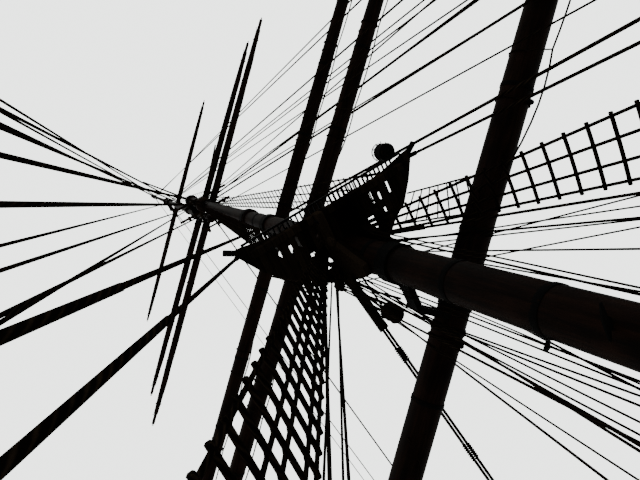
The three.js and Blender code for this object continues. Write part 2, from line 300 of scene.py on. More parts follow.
def ratlineTree():
    # rungs from the foremost line to the aftermost, with a knot where they cross each line
    work = Grower("ratlines", {"Rungs": "Int", "Fore foot": "Vector", "Fore head": "Vector",
                               "Aft foot": "Vector", "Aft head": "Vector", "Overhang": "Float",
                               "Rung": "Float", "Sag": "Float", "Knot": "Float"})
    given = work.given
    values = {"Count": given["Rungs"], "Start Location": given["Fore foot"], "Offset": given["Fore head"]}
    ladder = work.geo("MeshLine", values, mode="END_POINTS")
    step = work.geo("InputIndex") / (given["Rungs"] - 1)
    values = {0: step, 4: given["Aft foot"], 5: given["Aft head"]}
    aft = work.node("Mix", values, 1, data_type="VECTOR")
    values = {0: aft, 1: work.geo("InputPosition")}
    spread = work.node("VectorMath", values, operation="SUBTRACT")
    width = work.node("VectorMath", {0: spread}, "Value", operation="LENGTH")
    turn = work.aimed(spread)
    size = work.node("CombineXYZ", {"X": 1.0, "Y": 1.0, "Z": width + given["Overhang"] * 2})
    rung = work.geo("ResampleCurve", {"Curve": work.geo("CurvePrimitiveLine"), "Count": 8})
    values = {"Points": ladder, "Instance": rung, "Rotation": turn, "Scale": size}
    rungs = work.geo("InstanceOnPoints", values)
    share = given["Overhang"] / width
    back = work.node("VectorMath", {0: spread, "Scale": share * -1}, operation="SCALE")
    values = {"Instances": rungs, "Translation": back, "Local Space": False}
    rungs = work.geo("TranslateInstances", values)
    lines = work.geo("RealizeInstances", {"Geometry": rungs})
    reach = work.geo("SplineParameter").out("Factor")
    drop = work.node("CombineXYZ", {"Z": reach * (1 - reach) * given["Sag"] * -4})
    lines = work.geo("SetPosition", {"Geometry": lines, "Offset": drop})
    bars = work.sweep(lines, 6, given["Rung"])
    ties = work.geo("MeshToCurve", {"Mesh": given["Geometry"]})
    ties = work.geo("ResampleCurve", {"Curve": ties, "Count": given["Rungs"]})
    knot = work.geo("MeshIcoSphere", {"Radius": given["Knot"]})
    ties = work.geo("InstanceOnPoints", {"Points": ties, "Instance": knot})
    both = work.geo("JoinGeometry")
    for branch in (bars, ties):
        work.tree.links.new(branch.socket, both.made.inputs[0])
    return work.close(work.geo("SetShadeSmooth", {"Geometry": both}))


def fittingTree():
    # a small model on every point, turned and sized by what the point holds
    work = Grower("fittings", {"Fitting": "Object"})
    model = work.geo("ObjectInfo", {"Object": work.given["Fitting"]}).out("Geometry")
    values = {"Points": work.given["Geometry"], "Instance": model,
              "Rotation": work.aimed(work.attribute("aim", "FLOAT_VECTOR")),
              "Scale": work.attribute("size", "FLOAT_VECTOR")}
    return work.close(work.geo("InstanceOnPoints", values))


trees = {"rope": ropeTree(), "ratlines": ratlineTree(), "fittings": fittingTree()}


# Ways to add a piece

def link(made):
    bpy.context.scene.collection.objects.link(made)
    return made


def piece(name, mesh, finish, body="mast", replaced=None):
    made = link(bpy.data.objects.new(name, mesh))
    coat(mesh, finish)
    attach(made, body)
    if replaced:
        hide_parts(replaced)


def grow(name, mesh, tree, values, finish, body="mast", replaced=None):
    seed = link(bpy.data.objects.new(name + "_seed", mesh))
    modifier = seed.modifiers.new("grow", "NODES")
    modifier.node_group = trees[tree]
    for item in modifier.node_group.interface.items_tree:
        if item.in_out == "INPUT" and item.name in values:
            modifier[item.identifier] = values[item.name]
    seed.update_tag()
    bpy.context.view_layer.update()
    ready = seed.evaluated_get(bpy.context.evaluated_depsgraph_get())
    grown = bpy.data.meshes.new_from_object(ready)
    bpy.data.objects.remove(seed)
    piece(name, grown, finish, body, replaced)


def ropes(name, runs, finish="laid", body="mast", sides=8, replaced=None):
    # each run is a list of points and a radius
    mesh = bpy.data.meshes.new(name)
    spots, edges, radii = [], [], []
    for points, radius in runs:
        first = len(spots)
        spots += points
        edges += [(first + i, first + i + 1) for i in range(len(points) - 1)]
        radii += [radius] * len(points)
    mesh.from_pydata(spots, edges, [])
    mesh.attributes.new("thickness", "FLOAT", "POINT").data.foreach_set("value", radii)
    grow(name, mesh, "rope", {"Sides": sides}, finish, body, replaced)


def fittings(name, model, places, finish, body="mast"):
    # each place is a point, the way its z axis aims and a size, one number or three
    mesh = bpy.data.meshes.new(name)
    mesh.from_pydata([point for point, aim, size in places], [], [])
    aims = [number for point, aim, size in places for number in aim]
    sizes = [number for point, aim, size in places
             for number in (size if isinstance(size, tuple) else (size, size, size))]
    mesh.attributes.new("aim", "FLOAT_VECTOR", "POINT").data.foreach_set("vector", aims)
    mesh.attributes.new("size", "FLOAT_VECTOR", "POINT").data.foreach_set("vector", sizes)
    seed = link(bpy.data.objects.new(name + "_model", small[model]))
    grow(name, mesh, "fittings", {"Fitting": seed}, finish, body)
    bpy.data.objects.remove(seed)


# Shapes. Small models that are repeated are about a unit across, with their length along z.

def turns(count, closed=False):
    # the angles of a ring's corners, the first once more at the end of a closed line
    return [2 * pi * i / count for i in range(count + closed)]


def lathe(profile, sides=10, closed=False):
    # a solid of revolution from (radius, height) pairs, first and last on the axis or else closed
    model = bmesh.new()
    rings = []
    for radius, height in profile:
        angles = turns(sides) if radius else [0]
        rings.append([model.verts.new((radius * cos(a), radius * sin(a), height)) for a in angles])
    for low, high in zip(rings, rings[1:] + rings[:closed]):
        for i in range(sides):
            j = (i + 1) % sides
            corners = [low[i % len(low)], low[j % len(low)], high[j % len(high)], high[i % len(high)]]
            model.faces.new(list(dict.fromkeys(corners)))
    return finished(model)


def box(low, high, bevel):
    model = bmesh.new()
    bmesh.ops.create_cube(model, size=1)
    for vert in model.verts:
        vert.co = Vector([(a + b) / 2 + c * (b - a) for a, b, c in zip(low, high, vert.co)])
    bmesh.ops.bevel(model, geom=model.edges, offset=bevel, segments=2, affect="EDGES")
    return finished(model)


def finished(model):
    # faces outwards, smooth but for the sharp edges
    bmesh.ops.recalc_face_normals(model, faces=model.faces)
    for face in model.faces:
        face.smooth = True
    return meshOf(model)


def merged(meshes):
    model = bmesh.new()
    for mesh in meshes:
        model.from_mesh(mesh)
    return meshOf(model)


def meshOf(model):
    mesh = bpy.data.meshes.new("shape")
    model.to_mesh(mesh)
    model.free()
    mesh.set_sharp_from_angle(angle=radians(32))
    return mesh


def moved(mesh, *matrices):
    for matrix in matrices:
        mesh.transform(matrix)
    return mesh


def shift(x, y, z):
    return Matrix.Translation((x, y, z))


def eyeRing(hole, outer, half, sides, height):
    # a ring that stands up on the axis, seen round from the side
    profile = [(hole, half), (outer, half), (outer, -half), (hole, -half)]
    return moved(lathe(profile, sides, True), upright, shift(0, 0, height))


upright = Matrix.Rotation(pi / 2, 4, "X")


def blockModel():
    # a wooden block with its sheave, strop and eye; the rope leads along z
    look = {"width": 0.36, "depth": 0.13, "apart": 0.1,
            "cheek": [(0, -1), (0.55, -0.82), (0.92, -0.4), (1, 0), (0.92, 0.4), (0.55, 0.82), (0, 1)],
            "sheave": [(0, -0.08), (0.26, -0.08), (0.22, 0), (0.26, 0.08), (0, 0.08)],
            "strop": [(0.99, 0.09), (1.1, 0.06), (1.1, -0.06), (0.99, -0.09)]}
    shells = []
    for side in (-1, 1):
        size = Matrix.Diagonal((look["width"], look["depth"], 0.5, 1))
        shells.append(moved(lathe(look["cheek"], 8), shift(0, side * look["apart"], 0) @ size))
    shells.append(moved(lathe(look["sheave"], 10), upright))
    size = Matrix.Diagonal((look["width"], 1, 0.5, 1))
    shells.append(moved(lathe(look["strop"], 12, True), size @ upright))
    return merged([*shells, eyeRing(0.07, 0.13, 0.025, 8, 0.62)])


def screwModel():
    # a rigging screw: two eyes and an open body, one unit long from foot to head
    stem = lathe([(0, 0), (0.028, 0), (0.028, 1), (0, 1)], 6)
    bars = [box((-0.045, side * 0.045 - 0.012, 0.3), (0.045, side * 0.045 + 0.012, 0.75), 0.008)
            for side in (-1, 1)]
    nuts = [lathe([(0, z), (0.07, z), (0.07, z + 0.05), (0, z + 0.05)], 6) for z in (0.26, 0.74)]
    return merged([stem, *bars, *nuts, *[eyeRing(0.05, 0.1, 0.03, 8, z) for z in (0.04, 0.98)]])


def eyeModel():
    # an eyebolt that stands out along z
    shank = lathe([(0, -0.4), (0.22, -0.4), (0.22, -0.25), (0.1, -0.22), (0.1, 0.2), (0, 0.2)], 6)
    return merged([shank, eyeRing(0.2, 0.36, 0.08, 10, 0.5)])


def cleatModel():
    # two horns on a foot that stands out along z
    horns = lathe([(0, -1), (0.07, -0.95), (0.14, -0.5), (0.18, 0), (0.14, 0.5), (0.07, 0.95), (0, 1)], 8)
    foot = box((-0.12, -0.34, 0), (0.12, 0.34, 0.34), 0.04)
    return merged([moved(horns, upright, shift(0, 0, 0.4)), foot])


def bucketModel():
    # a deep rounded sheave case with rope grommets round its waist, 1 long
    shell = lathe([(0, -0.5), (0.2, -0.49), (0.3, -0.42), (0.33, -0.2), (0.34, 0.1), (0.31, 0.32),
                   (0.2, 0.44), (0.12, 0.5), (0, 0.5)], 18)
    rings = [lathe([(0.3, z - 0.02), (0.355, z - 0.02), (0.365, z), (0.355, z + 0.02), (0.3, z + 0.02)],
                   18, True) for z in (-0.3, -0.02, 0.24)]
    return merged([shell, *rings])


small = {
    "block": blockModel(), "screw": screwModel(), "eye": eyeModel(), "cleat": cleatModel(),
    "bucket": bucketModel(), "wedge": box((-0.5, -1.1, -0.5), (0.5, 1.1, 0.5), 0.06),
    "bolt": lathe([(0, 0), (0.6, 0), (0.5, 0.3), (0, 0.4)], 8),
    "hoop": lathe([(0.98, -0.5), (1.03, -0.5), (1.04, -0.4), (1.04, 0.4), (1.03, 0.5), (0.98, 0.5)], 28,
                  True),
    "pin": lathe([(0, -0.5), (0.05, -0.48), (0.055, 0), (0.055, 0.08), (0.1, 0.1), (0.11, 0.2),
                  (0.075, 0.34), (0.1, 0.44), (0.06, 0.5), (0, 0.505)], 8),
}
print("trees and small models ready")


# Measurements. Points are in metres and repeat the part's own.

# heights up each mast, with its radius there
masts = {
    "pole": [(0, 0.318), (3.6, 0.306), (9, 0.282), (14, 0.236), (18, 0.196), (21.3, 0.182), (24.05, 0.172)],
    "topgallant": [(21.35, 0.15), (24.3, 0.147), (25.3, 0.14), (31.4, 0.114), (32.6, 0.108), (37.3, 0.072),
                   (38.25, 0.056)],
}
centres = {"pole": 0.0, "topgallant": 0.62}
hands = {"port": 1, "starboard": -1}
# the lower shrouds' feet along the side; the foremost leg carries no ratlines
lowerFeet = {"port": [0.14, -0.47, -0.73, -1.27, -1.59, -2.3],
             "starboard": [-0.03, -0.45, -0.99, -1.61, -2.17]}
laddered = 1


def thickness(profile, place):
    # the radius at a place, from pairs of both
    for (low, first), (high, second) in zip(profile, profile[1:]):
        if place <= high:
            return first + (second - first) * (place - low) / (high - low)
    return profile[-1][1]


def onMast(mast, x, hand, height):
    # a point just off the mast's face, x ahead of its middle
    reach = thickness(masts[mast], height) + 0.005
    return Vector((centres[mast] + x, hand * sqrt(reach ** 2 - x ** 2), height))


def atSide(x, hand):
    # where a shroud or backstay lands
    return Vector((x, hand * 4.9, 0.6))


def between(low, high, height):
    return low.lerp(high, (height - low.z) / (high.z - low.z))


def loop(x, y, z, radius, count):
    # a closed level line round a point
    return [(x + radius * cos(t), y + radius * sin(t), z) for t in turns(count, True)]


# The masts

def hoops(name, mast, heights, depth, thick=1.0):
    places = []
    for z in heights:
        radius = thickness(masts[mast], z) * thick
        places.append(((centres[mast], 0, z), (0, 0, 1), (radius, radius, depth)))
    fittings(name, "hoop", places, "iron")


def collar(mast, foot):
    inner = thickness(masts[mast], foot) + 0.048
    ring = lathe([(inner - 0.09, foot - 0.07), (inner - 0.02, foot - 0.07), (inner, foot - 0.05),
                  (inner, foot), (inner - 0.09, foot)], 32, True)
    return moved(ring, shift(centres[mast], 0, 0))


def fineMast(name, mast, top, extras, replaced):
    look = {"sides": 44, "step": 0.8}
    foot = masts[mast][0][0]
    count = ceil((top - foot) / look["step"])
    heights = [foot + (top - foot) * i / count for i in range(count + 1)]
    profile = [(0, foot)] + [(thickness(masts[mast], z), z) for z in heights] + [(0, top)]
    shell = moved(lathe(profile, look["sides"]), shift(centres[mast], 0, 0))
    piece(name, merged([shell, *extras]), "mast", "mast", replaced)


def fineMasts():
    look = {"shoulder": [(0.17, 21.18), (0.30, 21.38), (0.30, 21.4997), (0.17, 21.4997)],
            "fid": ((0.575, -0.32, 21.6203), (0.665, 0.32, 21.73), 0.012),
            "coat": [(0.3, 0), (0.47, 0), (0.44, 0.05), (0.36, 0.2), (0.335, 0.42), (0.34, 0.46),
                     (0.3, 0.46)],
            "seams": (0.36, 0.4, 0.44), "wedges": 16, "cleat": 0.2,
            "cleats": (((0.255, 0.2, 4.3), (0.8, 0.6, 0)), ((0.3, -0.12, 3.2), (0.93, -0.37, 0)),
                       ((-0.25, 0.2, 3.4), (-0.8, 0.6, 0)), ((0.225, 0.225, 1.5), (1, 1, 0)),
                       ((-0.225, -0.225, 1.5), (-1, -1, 0))),
            "falls": ((0.24, 0.27), (0.275, 0.24), (0.3, 0.3))}
    extras = [lathe(look["shoulder"], 32, True), collar("pole", 15.2345)]
    fineMast("mast_pole", "pole", 24.05, extras, "lower_mast")
    extras = [box(*look["fid"]), collar("topgallant", 25.6675), collar("topgallant", 32.5285)]
    fineMast("mast_topgallant", "topgallant", 38.25, extras, "topgallant_mast")
    hoops("bands_pole", "pole", (1.1, 2.6, 4.3, 5.9, 8.1, 10.6, 12.2, 14.4), 0.11)
    hoops("bands_pole_head", "pole", (20.2, 22.6, 23.3, 24.0), 0.11)
    hoops("bands_topgallant", "topgallant", (22.4, 23.1, 31.4, 35.9, 37.3), 0.08)
    wedges = [((0.335 * cos(a), 0.335 * sin(a), 0.15), (-0.06 * cos(a), -0.06 * sin(a), 1),
               (0.05, 0.05, 0.26)) for a in turns(look["wedges"])]
    fittings("mast_wedges", "wedge", wedges, "timber")
    piece("mast_coat", lathe(look["coat"], 32, True), "rope")
    ropes("coat_lashing", [(loop(0, 0, z, 0.35, 24), 0.014) for z in look["seams"]])
    cleats = [(spot, aim, look["cleat"]) for spot, aim in look["cleats"]]
    fittings("mast_cleats", "cleat", cleats, "iron")
    falls = [([(s * x, s * y, 8.85), (s * (x + 0.015), s * (y + 0.015), 1.5)], 0.013)
             for s in (1, -1) for x, y in look["falls"]]
    ropes("mast_falls", falls, sides=6)
    print("masts turned")


# The yards

class Yard:
    # a yard's measures in metres, its turn in degrees, and places on its spar
    def __init__(self, name, height, pin, half, middle, arm, brace, foot, yoke=0.13):
        self.name = name
        self.yoke = yoke
        self.half = half
        self.middle = middle
        self.foot = foot
        self.ahead = middle + yoke
        self.world = shift(pin, 0, height) @ Matrix.Rotation(-radians(brace), 4, "Z")
        self.end = arm * 0.66
        self.taper = [(0, middle), (0.25, middle * 0.985), (0.5, middle * 0.93), (0.75, middle * 0.8),
                      (0.95, arm), (0.9501, arm * 0.72), (1, arm * 0.72)]

    def thick(self, y):
        return thickness(self.taper, abs(y) / self.half)

    def spot(self, y, angle, off=0.0):
        # on the spar y along it, off its face; 0 looks ahead and 90 up
        reach = self.thick(y) + off
        return self.world @ Vector((self.ahead + reach * cos(radians(angle)), y,
                                    reach * sin(radians(angle))))

    def core(self, y):
        return self.world @ Vector((self.ahead, y, 0))

    def way(self, x, y):
        return self.world.to_3x3() @ Vector((x, y, 0))


# name, height, pin ahead of the mast, half length, radius in the middle and at the arm, turn, footrope depth
yards = [
    Yard("lower_yard", 7.45, 0.86, 12.5, 0.28, 0.163, 45.7, 0.62, yoke=0.478),
    Yard("lower_topsail_yard", 13.5, 0.962, 11.3, 0.235, 0.136, 44.9, 0.72),
    Yard("upper_topsail_yard", 15.35, 0.837, 10.7, 0.21, 0.122, 45.6, 0.72),
    Yard("lower_topgallant_yard", 24.35, 1.05, 9.3, 0.16, 0.093, 46.4, 0.66),
    Yard("upper_topgallant_yard", 25.75, 1.007, 8.5, 0.15, 0.087, 46, 0.66),
    Yard("royal_yard", 32.6, 1.199, 6.54, 0.13, 0.076, 46.8, 0.6),
]


def yardSpar(yard):
    shares = [i / 40 for i in range(38)] + [0.9499, 0.9501, 0.975, 0.992]
    side = [(yard.thick(s * yard.half), s * yard.half) for s in shares]
    side += [(yard.end, yard.half), (0, yard.half)]
    profile = [(r, -y) for r, y in reversed(side[1:])] + side
    lay = yard.world @ shift(yard.ahead, 0, 0) @ Matrix.Rotation(-pi / 2, 4, "X")
    piece("fine_" + yard.name, moved(lathe(profile, 32), lay), "yard", yard.name, yard.name)


def yardFork(yard):
    # a strap round the spar's middle between two plates, with a bolt's head on each
    half, reach = 0.055, 0.55 * yard.middle
    shells = [box((yard.yoke - 0.02, -half, -reach - 0.02),
                  (yard.yoke + 0.6 * yard.middle, half, reach + 0.02), 0.008)]
    for z in (-1, 1):
        low, high = sorted((z * (reach + 0.0005), z * (reach + 0.0455)))
        shells.append(box((-0.075, -half, low), (yard.ahead, half, high), 0.01))
        head = lathe([(0, 0), (0.05, 0), (0.05, 0.028), (0.03, 0.034), (0, 0.034)], 6)
        shells.append(moved(head, shift(0, 0, high if z > 0 else low - 0.034)))
    piece(yard.name + "_fork", moved(merged(shells), yard.world), "iron", yard.name)


def yardIron(yard):
    look = {"bands": (0.12, 0.32, 0.52, 0.7, 0.86, 0.955), "eyes": 0.85, "jackstay": 0.015}
    half = yard.half

    def band(y, width, spare, depth):
        size = yard.thick(width) * spare
        return yard.spot(y, 0, -yard.thick(width)), yard.way(0, 1), (size, size, depth)

    def eye(y, angle, size):
        return yard.spot(y, angle), yard.spot(y, angle, 0.1) - yard.spot(y, angle), size

    bands = [band(s * f * half, f * half, 1.005, 0.075) for f in look["bands"] for s in (-1, 1)]
    bands += [band(s * 0.22, 0.2, 1.02, 0.12) for s in (-1, 1)]
    fittings(yard.name + "_bands", "hoop", bands, "iron", yard.name)
    count = round(0.9 * half / look["eyes"])
    eyes = [eye(s * (0.25 + (0.93 * half - 0.25) * i / count), 60, 0.075)
            for i in range(count + 1) for s in (-1, 1)]
    eyes += [(yard.core(s * half), yard.way(0, s), 0.12) for s in (-1, 1)]
    eyes += [eye(s * 0.955 * half, angle, 0.08) for s in (-1, 1) for angle in (90, 180, 270)]
    fittings(yard.name + "_eyes", "eye", eyes, "iron", yard.name)
    stays = [([yard.spot(s * (0.2 + (0.935 * half - 0.2) * i / 24), 60, 0.045) for i in range(25)],
              look["jackstay"]) for s in (-1, 1)]
    ropes(yard.name + "_jackstays", stays, "iron", yard.name, 6)


def yardRopes(yard):
    # footropes in their stirrups, and reef lines along the jackstay
    look = {"stirrup": 2.3, "sag": 0.09, "line": 0.017, "wrap": 0.013, "reef": 0.012}
    runs = []
    behind = yard.way(-0.05, 0)
    for s in (-1, 1):
        inner, outer = 0.17 * yard.half, 0.945 * yard.half
        gaps = round((outer - inner) / look["stirrup"])
        knots = [inner + (outer - inner) * i / gaps for i in range(gaps + 1)]
        line = [yard.spot(s * inner, 200, 0.02)]
        for number, (here, there) in enumerate(zip(knots, knots[1:])):
            for part in [i / 8 for i in range(1, 9)]:
                y = here + (there - here) * part
                edge = part if number == gaps - 1 else 1 - part if number == 0 else 0
                sag = look["sag"] * 4 * part * (1 - part)
                depth = yard.foot * (1 - edge ** 2) + sag + 0.1 * edge
                line.append(yard.core(s * y) - Vector((0, 0, depth)) + behind)
        runs.append((line, look["line"]))
        for y in knots[1:-1]:
            foot = yard.core(s * y) - Vector((0, 0, yard.foot)) + behind
            wrap = [yard.spot(s * y, angle, 0.012) for angle in range(60, 211, 30)]
            runs.append(([*wrap, foot], look["wrap"]))
        reefs = []
        for i in range(61):
            along = s * (0.3 + (0.9 * yard.half - 0.3) * i / 60)
            reefs.append(yard.spot(along, 60 + 14 * sin(i * 1.7), 0.05 + 0.015 * (i % 3)))
        runs.append((reefs, look["reef"]))
    ropes(yard.name + "_footropes", runs, "laid", yard.name, 7)


def yardBlocks(yard):
    # blocks hung under the spar: how far out, at what angle and how large
    hung = ((0.03, 262, 0.22), (0.3, 280, 0.13), (0.58, 280, 0.13), (0.9, 275, 0.16))
    places, straps = [], []
    for s in (-1, 1):
        for share, angle, size in hung:
            y = s * share * yard.half
            scale = size * (0.55 + 0.45 * yard.half / 12.5)
            places.append((yard.spot(y, angle, 0.62 * scale), (0, 0, 1), scale))
            straps.append(([yard.spot(y, a, 0.02) for a in range(0, 361, 30)], 0.016))
    fittings(yard.name + "_blocks", "block", places, "timber", yard.name)
    ropes(yard.name + "_strops", straps, "laid", yard.name, 6)


def fineYards():
    for yard in yards:
        for make in (yardSpar, yardFork, yardIron, yardRopes, yardBlocks):
            make(yard)
    print("yards turned")


# Standing rigging

def gang(name, feet, heads, look, heights):
    # ratlines over the shrouds that run from feet to heads, both listed from fore to aft
    lines = [(between(foot, head, heights[0]), between(foot, head, heights[1]))
             for foot, head in zip(feet, heads)]
    mesh = bpy.data.meshes.new(name)
    mesh.from_pydata([end for line in lines for end in line],
                     [(2 * i, 2 * i + 1) for i in range(len(lines))], [])
    values = {"Rungs": round((heights[1] - heights[0]) / look["pitch"]) + 1,
              "Fore foot": lines[0][0], "Fore head": lines[0][1], "Aft foot": lines[-1][0],
              "Aft head": lines[-1][1], **look}
    grow(name, mesh, "ratlines", values, "laid")


def wires(name, lines, look, replaced):
    # lines run from foot to head over a rigging screw, served from the foot up and from the head down
    runs = []
    for foot, head in lines:
        ahead = (head - foot).normalized()
        start = foot + ahead * look["screw"] * 0.96
        runs.append(([start, head], look["wire"]))
        runs.append(([start, start + ahead * 0.45], look["wire"] * 1.45))
        if "served" in look:
            length, radius = look["served"]
            runs.append(([start, foot + ahead * length], radius))
        if "headServed" in look:
            length, radius = look["headServed"]
            runs.append(([head, head - ahead * length], radius))
    ropes(name, runs, replaced=replaced)


def lowerLegs(side):
    # feet and heads of the lower shrouds; the foremost starts under the top, clear of the braced yard
    hand = hands[side]
    feet = [atSide(x, hand) for x in lowerFeet[side]]
    first = {"port": Vector((-0.1, 0.626, 8.9)), "starboard": Vector((-0.05, -0.45, 8.9))}[side]
    spare = [0.12] if side == "port" else []  # port has one leg more
    return feet, [first] + [onMast("pole", x, hand, 9.7) for x in spare + [0.06, 0.01, -0.05, -0.115]]


def standing():
    # radii of wires and lugs, the screws' length, and the ratlines' pitch and what their tree takes
    looks = {"lower": {"wire": 0.025, "screw": 0.8, "lug": 0.024, "headServed": (1.1, 0.04), "pitch": 0.28,
                       "Overhang": 0.06, "Rung": 0.03, "Sag": 0.012, "Knot": 0.04},
             "topmast": {"wire": 0.018, "screw": 0.45, "lug": 0.017, "pitch": 0.24,
                         "Overhang": 0.035, "Rung": 0.015, "Sag": 0.008, "Knot": 0.024},
             "topgallant": {"wire": 0.012, "screw": 0.35, "lug": 0.014, "pitch": 0.34,
                            "Overhang": 0.02, "Rung": 0.01, "Sag": 0.004, "Knot": 0.019}}
    rungHeights = {"port": (1.48, 8.76), "starboard": (1.535, 8.815)}
    # the backstays' feet to port and starboard, their wire, and the mast, place and height of their heads
    backstays = {
        "horn_backstay": {"feet": (-3.04, -2.78), "wire": 0.028, "served": (4.6, 0.037)},
        "cap_backstay": {"feet": (-3.575, -3.165), "wire": 0.03, "head": ("pole", 0.15, 14.4),
                         "served": (4.2, 0.037)},
        "topmast_fore_backstay": {"feet": (-4.26, -3.91), "wire": 0.026, "head": ("pole", -0.15, 20.4)},
        "topmast_aft_backstay": {"feet": (-4.8, -4.6), "wire": 0.026, "head": ("pole", -0.17, 20.75)},
        "topgallant_backstay": {"feet": (-5.55, -5.31), "wire": 0.022, "head": ("topgallant", -0.07, 31.4)},
        "royal_backstay": {"feet": (-5.9, -5.78), "wire": 0.019, "head": ("topgallant", -0.04, 37.3)},
    }
    screws, lugs, poles = [], [], []

    def ends(lines, screw, lug):
        for foot, head in lines:
            ahead = head - foot
            screws.append((foot, ahead, screw))
            lugs.append(([head - ahead.normalized() * 0.2, head], lug * 1.6))

    def shrouds(level, side, feet, heads, heights, first=0):
        look = looks[level]
        lines = list(zip(feet, heads))
        wires(f"wires_{level}_{side}", lines, look, f"{level}_shrouds_{side}")
        ends(lines, look["screw"], look["lug"])
        gang(f"ratlines_{level}_{side}", feet[first:], heads[first:], look, heights)

    for side, hand in hands.items():
        feet, heads = lowerLegs(side)
        shrouds("lower", side, feet, heads, rungHeights[side], laddered)
        fore, aft = [between(feet[i], heads[i], 1.3) for i in (laddered, -1)]
        poles.append(([fore.lerp(aft, -0.04), fore.lerp(aft, 1.04)], 0.035))
        feet = [Vector((x, hand * 1.17, 9.07)) for x in (-0.12, -0.4, -0.68, -0.96)]
        heads = [onMast("pole", x, hand, 20.9) for x in (0.07, 0.02, -0.03, -0.085)]
        shrouds("topmast", side, feet, heads, (9.7, 20.3))
        feet = [Vector((x, hand * 1.05, 21.66)) for x in (0.235, -0.26)]
        heads = [onMast("topgallant", x, hand, 31.1) for x in (0.02, -0.045)]
        shrouds("topgallant", side, feet, heads, (22.2, 30.4))
        for name, look in backstays.items():
            foot = atSide(look["feet"][0 if hand > 0 else 1], hand)
            head = Vector((-0.95, hand * 1.9, 9.11))
            if "head" in look:
                mast, x, height = look["head"]
                head = onMast(mast, x, hand, height)
            wires(f"{name}_wire_{side}", [(foot, head)], {**look, "screw": 0.8}, f"{name}_{side}")
            ends([(foot, head)], 0.8, look["wire"])
    fittings("rigging_screws", "screw", screws, "iron")
    ropes("rigging_lugs", lugs, "iron", sides=10)
    ropes("sheer_poles", poles, "iron", sides=10)
    print("shrouds and backstays set up")


def foreStays():
    look = {"stays": {"topmast_stay": ((0.18, 0, 21.1), (23.5, 0, 0.3), 0.024),
                      "topgallant_stay": ((0.73, 0, 31.6), (24.6, 0, 0.3), 0.02),
                      "royal_stay": ((0.69, 0, 37.45), (25.7, 0, 0.3), 0.017)},
            "pair": ((0.23, 10.17), (17.04, 0.3)), "apart": 0.034, "wire": 0.03,
            "seizings": (8.9, 7.8, 6.0, 4.2, 2.2, 0.5), "served": (0.74, 1.88),
            "hook": ((3.08, 0, 8.5), (3.12, 0, 8.33), (3.2, 0, 8.22), (3.1, 0, 8.12), (2.99, 0, 8.18),
                     (2.98, 0, 8.27))}
    for name, (head, foot, radius) in look["stays"].items():
        head, foot = Vector(head), Vector(foot)
        collared = head + (foot - head).normalized() * 0.9
        ropes(name + "_wire", [([head, foot], radius), ([head, collared], radius * 1.7)], replaced=name)
    runs = [([(x, y, z) for x, z in look["pair"]], look["wire"]) for y in (look["apart"], -look["apart"])]
    ropes("lower_stay_wires", runs, replaced="lower_stay")
    top, low = [Vector((x, 0, z)) for x, z in look["pair"]]
    across = Vector((0, 1, 0))
    ahead = (low - top).normalized()
    up = ahead.cross(across)

    def wound(start, end, count, perTurn, wide, deep):
        # a line wound round the way from start to end
        line = []
        for i in range(count + 1):
            turn = 2 * pi * i / perTurn
            off = across * wide * cos(turn) + up * deep * sin(turn)
            line.append(start.lerp(end, i / count) + off)
        return line

    lashings = []
    for height in look["seizings"]:
        spot = between(low, top, height)
        lashings.append((wound(spot - ahead * 0.15, spot + ahead * 0.15, 56, 8, 0.074, 0.041), 0.014))
    start, end = [top.lerp(low, (x - top.x) / (low.x - top.x)) for x in look["served"]]
    lashings.append((wound(start, end, 360, 10, 0.095, 0.08), 0.02))
    lashings.append(([start, end], 0.09))
    ropes("stay_seizings", lashings, sides=6)
    ropes("stay_hook", [(look["hook"], 0.022)], "iron")
    print("stays set up")


